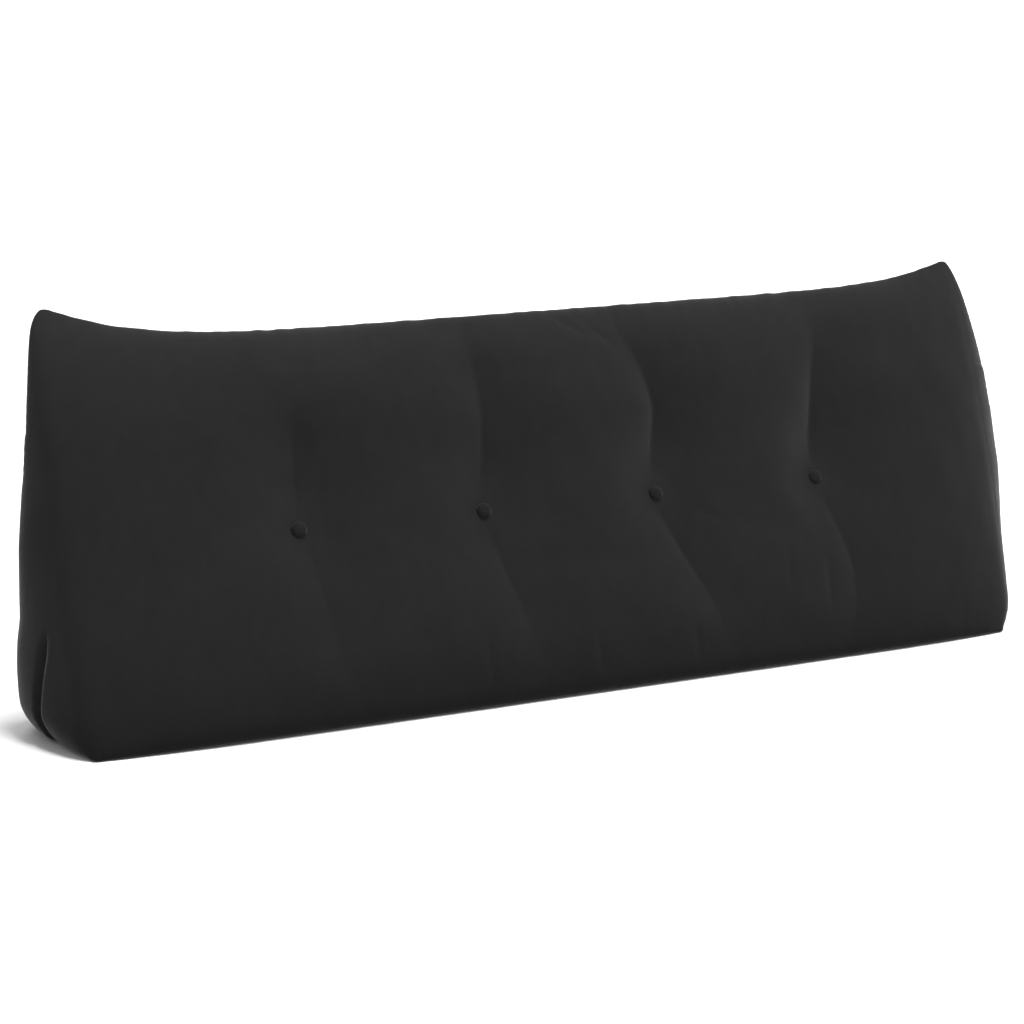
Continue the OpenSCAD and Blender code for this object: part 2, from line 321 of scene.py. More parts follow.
def simulate(cover, start, rest, weights):
    """Lets the slack cloth settle over the filling, which keeps its volume. Returns the points."""
    obj = new_object("cover_sim", cover.mesh("cover_sim", start))
    obj.shape_key_add(name="Basis")
    slack = obj.shape_key_add(name="slack")
    slack.data.foreach_set("co", rest.astype(np.float32).ravel())
    group = obj.vertex_groups.new(name="held")
    for level in np.unique(weights):
        if level > 0:
            group.add([int(j) for j in np.where(weights == level)[0]], float(level), "REPLACE")
    cloth = obj.modifiers.new("Cloth", "CLOTH")
    s = cloth.settings
    s.rest_shape_key = slack
    s.quality = 8
    s.mass = 0.3
    s.tension_stiffness = s.compression_stiffness = 60
    s.shear_stiffness = 20
    s.bending_stiffness = 3
    s.tension_damping = s.compression_damping = 15
    s.shear_damping = 10
    s.bending_damping = 1
    s.air_damping = 5
    s.vertex_group_mass = "held"
    s.pin_stiffness = 1
    s.use_pressure = True
    s.uniform_pressure_force = 0
    s.use_pressure_volume = True
    s.target_volume = bag_volume(obj.data) * FILL
    s.pressure_factor = PRESSURE
    s.effector_weights.gravity = 0
    cloth.collision_settings.use_collision = False
    cloth.point_cache.frame_end = SIM_FRAMES
    for step in range(1, SIM_FRAMES + 1):
        bpy.context.scene.frame_set(step)
    done = obj.evaluated_get(bpy.context.evaluated_depsgraph_get())
    points = mesh_points(done.data)
    bpy.data.objects.remove(obj)
    bpy.context.scene.frame_set(1)
    return points


def bag_volume(mesh):
    bm = bmesh.new()
    bm.from_mesh(mesh)
    volume = bm.calc_volume()
    bm.free()
    return abs(volume)


def subdivided(cover, points, levels, smooth):
    """The cover's mesh with its faces split, either rounded off or kept flat. Seams stay fairly sharp."""
    mesh = cover.mesh("subdivide", points)
    if smooth:
        sharp = mesh.attributes.new("crease_edge", "FLOAT", "EDGE")
        sharp.data.foreach_set("value", cover.seam_sharpness(mesh))
    obj = new_object("subdivide", mesh)
    mod = obj.modifiers.new("Subsurf", "SUBSURF")
    mod.levels = levels
    mod.subdivision_type = "CATMULL_CLARK" if smooth else "SIMPLE"
    done = obj.evaluated_get(bpy.context.evaluated_depsgraph_get())
    mesh = bpy.data.meshes.new_from_object(done)
    bpy.data.objects.remove(obj)
    return mesh


# ---- make the cover -----------------------------------------------------------------------------

cover = Cover()
chart = np.array(cover.chart)
u, t, v = chart.T
on_front = (v == 0) & (t > 0)
on_back = (v == 1) & (t > 0)
start = back_pull(filled(u, t, v), on_back)
rest = start * (1 + SLACK_X, 1, 1 + SLACK_Z)

seam = (t == 1) | ((t == 0) & ((v == 0) | (v == 1))) | ((abs(u) == 1) & ((v == 0) | (v == 1)))
weights = np.where(seam, SEAM_HOLD, 0.0)
weights[(t == 0) & ~seam] = 1.0
for seat in SEATS:
    weights[on_front & (np.linalg.norm(start - seat, axis=1) < TUFT_HOLD_R)] = 1.0
for seat in BACK_SEATS:
    weights[on_back & (np.linalg.norm(start - seat, axis=1) < ANCHOR_HOLD_R)] = 1.0
weights[on_back & (abs(start[:, 2] - ZIP_Z) < ZIP_HOLD) & (abs(start[:, 0]) < TAPE_HI[0])] = 1.0

shape = simulate(cover, start, rest, weights)

fine = subdivided(cover, shape, LEVELS, True)
fine_chart = mesh_points(subdivided(cover, chart, LEVELS, False))

# ---- folds, dimples and seams sculpted on the settled cloth -------------------------------------

# each crease runs from its button through these (x, z) places on the front panel
UP_CREASES = [
    [(-0.374, 0.240), (-0.368, 0.290), (-0.364, 0.340), (-0.362, 0.385)],
    [(-0.126, 0.240), (-0.110, 0.300), (-0.102, 0.365), (-0.106, 0.405), (-0.116, 0.455)],
    [(0.124, 0.240), (0.140, 0.300), (0.150, 0.345), (0.138, 0.395), (0.106, 0.450)],
    [(0.374, 0.240), (0.392, 0.320), (0.410, 0.400), (0.412, 0.450)],
]
DOWN_CREASES = [
    [(-0.372, 0.225), (-0.364, 0.190), (-0.352, 0.110), (-0.345, 0.050)],
    [(-0.126, 0.225), (-0.116, 0.180), (-0.095, 0.105), (-0.085, 0.050)],
    [(0.122, 0.225), (0.143, 0.170), (0.178, 0.095), (0.190, 0.050)],
    [(0.376, 0.225), (0.402, 0.130), (0.396, 0.070), (0.375, 0.020)],
]
# how deep and how wide: broad valley, then the sharp fold in it
UP_DEPTH = (0.017, 0.020, 0.022, 0.020)
DOWN_DEPTH = (0.008, 0.010, 0.011, 0.008)
VALLEY_W = (0.038, 0.060)
FOLD_DEPTH = (0.0010, 0.0018, 0.0028, 0.0024)
FOLD_W = 0.007
# short wrinkles: start, end and depth. Two lie near the top of the third crease, the others lower down
WRINKLES = [
    ((0.000, 0.470), (0.075, 0.432), 0.0018),
    ((0.040, 0.466), (0.108, 0.418), 0.0015),
    ((0.165, 0.215), (0.225, 0.190), 0.0012),
    ((-0.159, 0.115), (-0.156, 0.022), 0.0014),
    ((-0.004, 0.090), (-0.002, 0.018), 0.0012),
    ((0.139, 0.085), (0.141, 0.016), 0.0012),
    ((0.362, 0.150), (0.352, 0.060), 0.0014),
    ((0.300, 0.160), (0.292, 0.080), 0.0010),
]
WRINKLE_W = 0.006
LUMP = 0.0016
PUCKER = 0.0010
RIDGE_PUCKER_W = 0.028
END_PUCKER_W = 0.020
BASE_PUCKER_W = 0.022
SEAM_GROOVE = 0.0008
SEAM_GROOVE_W = 0.0025
DIMPLE_R = 0.030
CLOTH_T = 0.0015
# the end seams are rolled and soft: how far in from them, and how much
END_SOFT_W = 0.018
END_SOFT_PASSES = 36
# the left end panel has one upright fold low down, near its middle, and the strip behind it stands proud
FOLD_Y = -0.008
FOLD_TOP = 0.131
FOLD_SLIT = 0.0060
FOLD_SLIT_W = 0.0032
FOLD_STRIP = 0.0030
# both rear corner seams are drawn in where the zip ends
NOTCH = 0.006
NOTCH_R = 0.007


def soft_path(path, z):
    """x along a crease at each height, rounded at its corners."""
    heights, places = np.array(sorted((p[1], p[0]) for p in path)).T
    grid = np.linspace(heights[0], heights[-1], 61)
    line = np.interp(grid, heights, places)
    padded = np.concatenate([2 * line[0] - line[9:0:-1], line, 2 * line[-1] - line[-2:-11:-1]])
    kernel = np.hanning(19)
    return np.interp(z, grid, np.convolve(padded, kernel / kernel.sum(), "valid"))


def crease_relief(x, z, path, depth, fold):
    """How far the front panel is drawn in along one crease."""
    z0, z1 = path[0][1], path[-1][1]
    along = (z - z0) / (z1 - z0)
    offset = x - soft_path(path, z)
    width = VALLEY_W[0] + (VALLEY_W[1] - VALLEY_W[0]) * np.clip(along, 0, 1.2)
    width = width * np.where(offset < 0, 0.8, 1.5)
    valley = depth * np.exp(-((abs(offset) / width) ** 1.25))
    valley = valley * smoothstep(-0.30, 0.30, along) * (1 - smoothstep(0.55, 1.25, along))
    sharp = fold * np.exp(-abs(offset) / FOLD_W)
    return valley + sharp * smoothstep(-0.02, 0.15, along) * (1 - smoothstep(0.3, 0.95, along))


def wrinkle_relief(x, z, start, end, depth):
    """A short shallow wrinkle in the front panel from one (x, z) place to another."""
    run = np.array(end) - np.array(start)
    length = np.hypot(*run)
    along = ((x - start[0]) * run[0] + (z - start[1]) * run[1]) / length ** 2
    aside = ((x - start[0]) * run[1] - (z - start[1]) * run[0]) / length
    return depth * np.exp(-((aside / WRINKLE_W) ** 2)) * np.sin(np.pi * np.clip(along, 0, 1))


def relaxed(points, edges, amount, passes):
    """Points drawn towards the middle of their neighbours, by an amount from 0 to 1 for each point."""
    neighbours = np.bincount(edges.ravel(), minlength=len(points))
    for _ in range(passes):
        total = np.zeros_like(points)
        for axis in range(3):
            total[:, axis] = np.bincount(edges[:, 0], points[edges[:, 1], axis], len(points))
            total[:, axis] += np.bincount(edges[:, 1], points[edges[:, 0], axis], len(points))
        points = points + (total / neighbours[:, None] - points) * amount[:, None]
    return points


polygons = np.zeros(len(fine.loops), np.int32)
fine.loops.foreach_get("vertex_index", polygons)
polygons = polygons.reshape(-1, 4)
edges = np.zeros(len(fine.edges) * 2, np.int32)
fine.edges.foreach_get("vertices", edges)
edges = edges.reshape(-1, 2)
fu, ft, fv = np.clip(fine_chart, (-1, 0, 0), (1, 1, 1)).T
in_from_seam = (1 - abs(fu)) * BASE_HALF[0] + np.minimum(fv, 1 - fv) * (BACK_Y - FRONT_Y) * (1 - ft)
near_ends = np.exp(-((in_from_seam / END_SOFT_W) ** 2)) * (ft > 0.004)
near_ends *= 1 - 0.85 * smoothstep(0.93, 0.985, ft)
points = relaxed(mesh_points(fine), edges, 0.5 * near_ends, END_SOFT_PASSES)
set_points(fine, points)
normals = mesh_normals(fine)
x, y, z = points.T
panel_of = np.zeros(len(fine.polygons), np.int32)
fine.attributes["panel"].data.foreach_get("value", panel_of)
is_on = {}
for panel in (FRONT, BACK, BOTTOM, LEFT, RIGHT):
    is_on[panel] = np.zeros(len(points), bool)
    is_on[panel][polygons[panel_of == panel].ravel()] = True

# distance from the seams round each panel
PANEL_HEIGHT = 0.5
BASE_DEPTH = 0.2
depth_here = (BACK_Y - FRONT_Y) * (1 - ft)
to_ridge = (1 - ft) * PANEL_HEIGHT
to_base = ft * PANEL_HEIGHT
to_end = (1 - abs(fu)) * BASE_HALF[0]
on_gusset = is_on[LEFT] | is_on[RIGHT]
to_side = np.minimum(fv, 1 - fv) * depth_here
on_sides = np.minimum(np.minimum(to_ridge, to_base), to_end)
seam_gap = np.where(on_gusset, np.minimum(to_side, to_base), on_sides)
on_base = np.minimum(np.minimum(fv, 1 - fv) * BASE_DEPTH, to_end)
seam_gap = np.where(is_on[BOTTOM], on_base, seam_gap)

relief = np.zeros(len(points))
dimple = np.zeros(len(points))
for n in range(TUFTS):
    relief += crease_relief(x, z, UP_CREASES[n], UP_DEPTH[n], FOLD_DEPTH[n])
    relief += crease_relief(x, z, DOWN_CREASES[n], DOWN_DEPTH[n], FOLD_DEPTH[n] * 0.8)
    off = np.hypot(x - SEATS[n][0], (z - SEATS[n][2]) * 1.06)
    dimple = np.maximum(dimple, np.exp(-((off / DIMPLE_R) ** 1.3)))
for wrinkle in WRINKLES:
    relief += wrinkle_relief(x, z, *wrinkle)
relief *= (1 - dimple) * is_on[FRONT] * smoothstep(0.0, 0.02, seam_gap)

# slow unevenness of the filling, then small puckers where the seams gather the cloth
soft = smoothstep(0.0, 0.04, seam_gap) * ~is_on[BOTTOM] * (1 - dimple)
relief += LUMP * soft * (noise_at(points, 0.085, 1) + 0.5 * noise_at(points * (1, 1, 0.6), 0.04, 2))
gather = noise_at(points * (1, 0.35, 0.35), 0.016, 3) + 0.6 * noise_at(points * (1, 0.3, 0.3), 0.034, 4)
end_gather = noise_at(points * (0.35, 0.35, 1), 0.016, 5) + 0.6 * noise_at(points * (0.3, 0.3, 1), 0.034, 6)
near_ridge = np.exp(-((to_ridge / RIDGE_PUCKER_W) ** 1.2)) * smoothstep(0, 0.05, to_end)
near_end = np.exp(-((np.where(on_gusset, to_side, to_end) / END_PUCKER_W) ** 1.2))
near_end *= smoothstep(0, 0.05, to_ridge)
near_base = 0.6 * np.exp(-((to_base / BASE_PUCKER_W) ** 1.2)) * smoothstep(0, 0.05, to_end)
upright = ~is_on[BOTTOM]
relief += PUCKER * upright * gather * np.maximum(near_ridge, near_base * is_on[FRONT])
relief += PUCKER * upright * end_gather * near_end * 0.3
softer = np.where(to_end + to_side * on_gusset < 0.01, 0.4, 1)
relief += SEAM_GROOVE * np.exp(-seam_gap / SEAM_GROOVE_W) * softer

# the fold in the left end panel, and the notch where the zip ends
line_y = FOLD_Y - 0.010 * np.clip(1 - z / 0.035, 0, 1) ** 1.5
low = 1 - smoothstep(FOLD_TOP - 0.020, FOLD_TOP + 0.012, z)
behind = y - line_y
slit = FOLD_SLIT * np.exp(-((abs(behind) / FOLD_SLIT_W) ** 1.3))
strip = -FOLD_STRIP * smoothstep(-0.002, 0.006, behind) * (1 - smoothstep(0.050, 0.110, behind))
relief += (slit + strip) * low * is_on[LEFT] * smoothstep(0.0, 0.012, seam_gap)
notch = np.hypot(z - ZIP_Z - 0.004, (y - BACK_Y) * 0.5) / NOTCH_R
relief += NOTCH * np.exp(-(notch ** 1.5)) * (is_on[LEFT] | is_on[RIGHT])

points -= normals * relief[:, None]
points[:, 2] = np.maximum(points[:, 2], 0)
set_points(fine, points)
normals = mesh_normals(fine)


# ---- materials ----------------------------------------------------------------------------------

# heights in metres, and how far the painted shade has turned to painted highlight there: 0 at the base, 1 in
# the middle, 2 at the top
PAINTED_SHADE_STOPS = [(0.09, 0.8), (0.16, 1.0), (0.34, 1.0), (0.44, 1.5)]


class Material:
    """Principled material with procedural colour variation and bumps, all from object coordinates."""

    def __init__(self, name, colour, roughness, **sockets):
        self.mat = bpy.data.materials.new(name)
        self.mat.use_nodes = True
        self.nodes, self.links = self.mat.node_tree.nodes, self.mat.node_tree.links
        self.shader = self.nodes["Principled BSDF"]
        self.coords = self.nodes.new("ShaderNodeTexCoord").outputs["Object"]
        self.colour = self.nodes.new("ShaderNodeRGB").outputs[0]
        self.colour.default_value = (*colour, 1)
        self.links.new(self.colour, self.shader.inputs["Base Color"])
        self.shader.inputs["Roughness"].default_value = roughness
        for socket, value in sockets.items():
            self.shader.inputs[socket.replace("_", " ")].default_value = value
        self.normal = None

    def scaled(self, scale):
        node = self.nodes.new("ShaderNodeMapping")
        node.inputs["Scale"].default_value = scale
        self.links.new(self.coords, node.inputs["Vector"])
        return node.outputs[0]

    def noise(self, scale, detail=2.0, squash=(1, 1, 1)):
        node = self.nodes.new("ShaderNodeTexNoise")
        node.inputs["Scale"].default_value = scale
        node.inputs["Detail"].default_value = detail
        self.links.new(self.scaled(squash), node.inputs["Vector"])
        return node.outputs["Fac"]

    def wave(self, scale, axis, distortion=0.0):
        node = self.nodes.new("ShaderNodeTexWave")
        node.bands_direction = axis
        node.inputs["Scale"].default_value = scale
        node.inputs["Distortion"].default_value = distortion
        self.links.new(self.coords, node.inputs["Vector"])
        return node.outputs["Fac"]

    def vary(self, fac, low, high):
        """Multiplies the colour by low to high as fac goes from dark to light."""
        ramp = self.nodes.new("ShaderNodeMapRange")
        ramp.inputs["From Min"].default_value = 0.3
        ramp.inputs["From Max"].default_value = 0.7
        ramp.inputs["To Min"].default_value = low
        ramp.inputs["To Max"].default_value = high
        self.links.new(fac, ramp.inputs["Value"])
        mix = self.nodes.new("ShaderNodeVectorMath")
        mix.operation = "SCALE"
        self.links.new(self.colour, mix.inputs[0])
        self.links.new(ramp.outputs[0], mix.inputs["Scale"])
        self.colour = mix.outputs[0]
        self.links.new(self.colour, self.shader.inputs["Base Color"])
        return self

    def paint_shade_by_height(self, base, middle, top):
        """Painted shade and light by height: the colour is darkened low down as painted shade and lightened
        towards the top edge as painted highlight.
        """
        split = self.nodes.new("ShaderNodeSeparateXYZ")
        self.links.new(self.coords, split.inputs[0])
        curve = self.nodes.new("ShaderNodeValToRGB")
        stops = curve.color_ramp.elements
        stops[0].position, stops[0].color = 0.0, (base, base, base, 1)
        stops[1].position, stops[1].color = 0.5, (top, top, top, 1)
        for place, shade in PAINTED_SHADE_STOPS:
            value = base + (middle - base) * shade if shade <= 1 else middle + (top - middle) * (shade - 1)
            stops.new(place).color = (value, value, value, 1)
        self.links.new(split.outputs["Z"], curve.inputs["Fac"])
        mix = self.nodes.new("ShaderNodeVectorMath")
        mix.operation = "MULTIPLY"
        self.links.new(self.colour, mix.inputs[0])
        self.links.new(curve.outputs["Color"], mix.inputs[1])
        self.colour = mix.outputs[0]
        self.links.new(self.colour, self.shader.inputs["Base Color"])
        return self

    def bump(self, fac, depth, strength=1.0):
        node = self.nodes.new("ShaderNodeBump")
        node.inputs["Distance"].default_value = depth
        node.inputs["Strength"].default_value = strength
        self.links.new(fac, node.inputs["Height"])
        if self.normal:
            self.links.new(self.normal, node.inputs["Normal"])
        self.normal = node.outputs[0]
        self.links.new(self.normal, self.shader.inputs["Normal"])
        return self


pile = {"Specular_IOR_Level": 0.0, "Sheen_Roughness": 0.35}
velvet = Material("velvet", (0.0134, 0.0134, 0.0138), 0.9, Sheen_Weight=0.27, **pile)
# painted shade near the base and painted highlight towards the top edge, set by height
velvet.paint_shade_by_height(0.72, 1.0, 1.45)
velvet.vary(velvet.noise(9, 3), 0.96, 1.04)
velvet.vary(velvet.noise(70, 4, (1, 1, 0.35)), 0.965, 1.035)
velvet.vary(velvet.noise(1400, 2), 0.86, 1.14)
velvet.bump(velvet.noise(60, 3), 0.0006, 0.5)
velvet.bump(velvet.noise(1600, 2), 0.00025, 0.8)

button_cloth = Material("button_velvet", (0.0125, 0.0125, 0.0129), 0.9, Sheen_Weight=0.13, **pile)
button_cloth.vary(button_cloth.noise(1400, 2), 0.86, 1.14)
button_cloth.bump(button_cloth.noise(1600, 2), 0.00025, 0.8)

casing_cloth = Material("casing_cloth", (0.78, 0.78, 0.76), 0.85, Specular_IOR_Level=0.2)
casing_cloth.vary(casing_cloth.noise(260, 3), 0.92, 1.05).bump(casing_cloth.noise(500, 2), 0.0003)

fibre = Material("fibre", (0.88, 0.88, 0.86), 0.95, Specular_IOR_Level=0.1, Sheen_Weight=0.2)
fibre.vary(fibre.noise(40, 5), 0.85, 1.05).bump(fibre.noise(160, 5), 0.003)

tape = Material("zip_tape_weave", (0.020, 0.020, 0.021), 0.8, Specular_IOR_Level=0.15)
tape.vary(tape.wave(900, "X", 0.4), 0.8, 1.15).bump(tape.wave(900, "X", 0.4), 0.0002)
tape.bump(tape.wave(700, "Z", 0.4), 0.0002)

coil = Material("zip_coil_nylon", (0.020, 0.020, 0.021), 0.58, Specular_IOR_Level=0.2)
coil.vary(coil.noise(300, 2), 0.85, 1.15)

metal = Material("zip_metal", (0.075, 0.073, 0.070), 0.34, Metallic=1.0)
metal.vary(metal.noise(220, 4), 0.75, 1.25).bump(metal.noise(900, 3), 0.00008, 0.5)

tin = Material("button_metal", (0.62, 0.62, 0.60), 0.36, Metallic=1.0)
tin.vary(tin.noise(200, 4), 0.8, 1.05).bump(tin.noise(700, 3), 0.0001, 0.5)

plastic = Material("button_plastic", (0.018, 0.018, 0.019), 0.50, Specular_IOR_Level=0.3)
plastic.vary(plastic.noise(180, 3), 0.9, 1.1).bump(plastic.noise(1200, 2), 0.00006, 0.6)

twine = Material("cord_twine", (0.035, 0.034, 0.033), 0.7, Specular_IOR_Level=0.25)
twine.vary(twine.noise(900, 3), 0.7, 1.3).bump(twine.wave(500, "DIAGONAL", 1.0), 0.0003)

thread = Material(
    "thread", (0.024, 0.024, 0.025), 0.55, Specular_IOR_Level=0.35, Sheen_Weight=0.1
)
thread.vary(thread.noise(1500, 2), 0.8, 1.25)

satin = Material(
    "label_satin", (0.40, 0.395, 0.385), 0.45, Specular_IOR_Level=0.4, Anisotropic=0.4
)
satin.vary(satin.noise(60, 3), 0.94, 1.02).bump(satin.wave(1100, "X"), 0.0001, 0.6)

NODE_LOOKS = {
    "zip_tape": tape,
    "zip_slider": metal,
    "zip_pull_tab": metal,
    "zip_top_stops": metal,
    "zip_end_stop": metal,
    "button_shell": tin,
    "button_back_plate": tin,
    "back_button": plastic,
    "tufting_cord": twine,
    "cord_knot": twine,
}
for name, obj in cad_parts.items():
    for start_of_name, look in NODE_LOOKS.items():
        if name.startswith(start_of_name):
            obj.data.materials.clear()
            obj.data.materials.append(look.mat)


# ---- cloth panels -------------------------------------------------------------------------------

def cloth_shell(name, all_points, all_normals, faces, thickness, look):
    """Closed sheet: the faces given, the same faces moved inward by the thickness, and a rim."""
    used, local = np.unique(faces, return_inverse=True)
    local = local.reshape(faces.shape)
    outer = all_points[used]
    inner = outer - all_normals[used] * thickness
    count = len(used)
    edges = np.stack([local, np.roll(local, -1, axis=1)], -1).reshape(-1, 2)
    edges = edges[edges[:, 0] != edges[:, 1]]
    key = edges.min(axis=1).astype(np.int64) * count + edges.max(axis=1)
    _, first, times = np.unique(key, return_index=True, return_counts=True)
    border = edges[first[times == 1]]
    rim = np.stack([border[:, 1], border[:, 0], border[:, 0] + count, border[:, 1] + count], -1)
    quads = np.concatenate([local, local[:, ::-1] + count, rim])
    mesh = bpy.data.meshes.new(name)
    rings = [tuple(dict.fromkeys(q)) for q in quads.tolist()]
    mesh.from_pydata(np.concatenate([outer, inner]), [], rings)
    mesh.shade_smooth()
    # the cloth's own directions, so light runs on smoothly from one panel to the next
    facing = all_normals[used]
    mesh.normals_split_custom_set_from_vertices(np.concatenate([facing, -facing]).tolist())
    mesh.materials.append(look.mat)
    return new_object(name, mesh)


def place(piece, slot, *nodes, body="cushion"):
    """Hides the CAD nodes a piece stands for and attaches it to the body it moves with. The slot, its
    finish, is not used.
    """
    if nodes:
        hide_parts(*nodes)
    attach(piece, body)
    return piece


centres = points[polygons].mean(axis=1)
# half height of the slot in the back panels that shows the zip
OPENING = 0.008
OPENING_END = TAPE_HI[0] - 0.002
in_slot = (abs(centres[:, 2] - ZIP_Z) < OPENING) & (abs(centres[:, 0]) < OPENING_END)
on_tape = (panel_of == BACK) & in_slot
upper = centres[:, 2] > ZIP_Z
PANELS = {
    "front_panel": panel_of == FRONT,
    "back_panel_upper": (panel_of == BACK) & upper & ~on_tape,
    "back_panel_lower": (panel_of == BACK) & ~upper & ~on_tape,
    "bottom_panel": panel_of == BOTTOM,
    "left_gusset": panel_of == LEFT,
    "right_gusset": panel_of == RIGHT,
}
for node, chosen in PANELS.items():
    piece = cloth_shell(node + "_cloth", points, normals, polygons[chosen], CLOTH_T, velvet)
    place(piece, "cover_fabric", node)

# casing and filling follow the cover from inside, on the coarser mesh of the simulation
coarse = len(chart)
room = 0.33 * (BACK_Y - FRONT_Y) * (1 - t)
core_normals = normals[:coarse]
from_zip = np.maximum(0, abs(points[:coarse, 2] - ZIP_Z) - ZIP_FLAT)
near_zip = np.exp(-((from_zip / 0.012) ** 2)) * on_back
near_fold = low[:coarse] * is_on[LEFT][:coarse] * np.exp(-((behind[:coarse] / 0.015) ** 2))


def inset(gap):
    """The cover's coarse points moved inward, further where the zip and the fold reach in."""
    deeper = gap + 0.006 * near_zip + 0.012 * near_fold
    moved = points[:coarse] - core_normals * np.minimum(deeper, room)[:, None]
    moved[t == 1, 2] -= min(gap, 0.005)
    return moved


def coarse_faces(panel):
    chosen = [f for f, p in zip(cover.faces, cover.panel) if p == panel]
    return np.array([f if len(f) == 4 else (*f, f[-1]) for f in chosen])


CASING_GAP = 0.006
CASING_T = 0.0005
FILL_GAP = 0.0085
CASING = {
    "casing_front": FRONT,
    "casing_back": BACK,
    "casing_bottom": BOTTOM,
    "casing_left_end": LEFT,
    "casing_right_end": RIGHT,
}
for node, panel in CASING.items():
    cut = coarse_faces(panel)
    lining = cloth_shell(node + "_cloth", inset(CASING_GAP), core_normals, cut, CASING_T, casing_cloth)
    place(lining, "casing_fabric", node)

fill_mesh = cover.mesh("fibre_fill_core", inset(FILL_GAP))
fill_mesh.shade_smooth()
fill_mesh.materials.append(fibre.mat)
filling = new_object("fibre_fill_core", fill_mesh)
place(filling, "fibre", "fibre_fill")


# ---- fabric-covered buttons ---------------------------------------------------------------------

def lathe(name, rings, around, look):
    """Closed solid from rings of points, each ring a list of (x, y, z), shut at both ends."""
    flat = [p for ring in rings for p in ring]
    faces = []
    for r in range(len(rings) - 1):
        for k in range(around):
            a, b = r * around + k, r * around + (k + 1) % around
            faces.append((a, b, b + around, a + around))
    faces.append(tuple(range(around))[::-1])
    faces.append(tuple(range(len(flat) - around, len(flat))))
    mesh = bpy.data.meshes.new(name)
    mesh.from_pydata(flat, [], faces)
    mesh.shade_smooth()
    mesh.materials.append(look.mat)
    return new_object(name, mesh)


BUTTON_RISE = 0.0060
BUTTON_AROUND = 64
BUTTON_RINGS = 18
BUTTON_LIFT = 0.0012
# the CAD model's front face runs back this far over its height
CAD_RUN, CAD_RISE = 0.186, 0.5
cad_lean = math.atan2(CAD_RUN, CAD_RISE)
out_axis = np.array([0, -math.cos(cad_lean), math.sin(cad_lean)])
up_axis = np.array([0, math.sin(cad_lean), math.cos(cad_lean)])
side_axis = np.array([1, 0, 0])
for i, seat in enumerate(SEATS, 1):
    rings = []
    for step in range(BUTTON_RINGS + 1):
        angle = -0.45 + (math.pi / 2 + 0.42) * step / BUTTON_RINGS
        ring = []
        for k in range(BUTTON_AROUND):
            turn = 2 * math.pi * k / BUTTON_AROUND
            gathers = 1 + 0.018 * math.sin(11 * turn + i) * max(0, math.cos(angle)) ** 4
            radius = (BUTTON_R + 0.0004) * math.cos(angle) ** 0.75 * gathers
            height = BUTTON_RISE * math.sin(angle)
            spot = Vector((math.cos(turn) * 3, math.sin(turn) * 3, angle * 2 + i))
            dent = 0.0002 * noise.noise(spot)
            p = seat + side_axis * radius * math.cos(turn) + up_axis * radius * math.sin(turn)
            ring.append(tuple(p + out_axis * (height + BUTTON_LIFT + dent)))
        rings.append(ring)
    knob = lathe(f"button_cover_{i}_cloth", rings, BUTTON_AROUND, button_cloth)
    place(knob, "cover_fabric", f"button_cover_{i}")

# ---- zip coils, stitching and label -------------------------------------------------------------

COIL_PITCH = 0.0028
COIL_AROUND = 8
RINGS_PER_TURN = 5
for node in ("zip_coil_upper", "zip_coil_lower"):
    lo, hi = (np.array(p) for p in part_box(node))
    middle, radius = (lo + hi) / 2, (hi[2] - lo[2]) / 2
    length = hi[0] - lo[0]
    steps = round(length / COIL_PITCH) * RINGS_PER_TURN
    rings = []
    for j in range(steps + 1):
        phase = 2 * math.pi * j / RINGS_PER_TURN
        swell = radius * (0.82 + 0.18 * math.cos(phase))
        ring = []
        for k in range(COIL_AROUND):
            turn = 2 * math.pi * k / COIL_AROUND
            slant = 0.0004 * math.sin(turn)
            place_x = lo[0] + length * j / steps + slant * min(1, j, steps - j)
            place_y = middle[1] + swell * math.cos(turn)
            ring.append((place_x, place_y, middle[2] + swell * math.sin(turn)))
        rings.append(ring)
    spiral = lathe(node + "_spiral", rings, COIL_AROUND, coil)
    place(spiral, "zip_coil", node)

seen = BVHTree.FromPolygons([Vector(p) for p in points], polygons[panel_of == BACK].tolist())


def back_surface(x, z):
    """(place, direction) on the back of the cushion."""
    hit, normal, _, _ = seen.ray_cast(Vector((x, 0.3, z)), Vector((0, -1, 0)))
    if hit is None:
        hit, normal, _, _ = seen.find_nearest(Vector((x, 0.1, z)))
    if normal.y < 0:
        normal = -normal
    return hit, normal


def stitches(name, places, size, look):
    """Short rounded threads lying on the cloth. places holds (centre, along, outward) for each."""
    verts, faces = [], []
    half_l, half_w, rise = size
    profile = [(-1, 0.0), (-0.8, 0.75), (0, 1.0), (0.8, 0.75), (1, 0.0)]
    sides = 6
    for centre, along, outward in places:
        side = along.cross(outward)
        first = len(verts)
        for reach, swell in profile:
            for k in range(sides):
                turn = 2 * math.pi * k / sides
                grow = max(swell, 0.12)
                offset = side * half_w * grow * math.cos(turn) + outward * rise * grow * math.sin(turn)
                verts.append(tuple(centre + along * half_l * reach + offset))
        last = first + (len(profile) - 1) * sides
        for start_of_ring in range(first, last, sides):
            for k in range(sides):
                a, b = start_of_ring + k, start_of_ring + (k + 1) % sides
                faces.append((a, a + sides, b + sides, b))
        faces.append(tuple(range(first, first + sides)))
        faces.append(tuple(range(last, last + sides))[::-1])
    mesh = bpy.data.meshes.new(name)
    mesh.from_pydata(verts, [], faces)
    mesh.shade_smooth()
    mesh.materials.append(look.mat)
    return new_object(name, mesh)


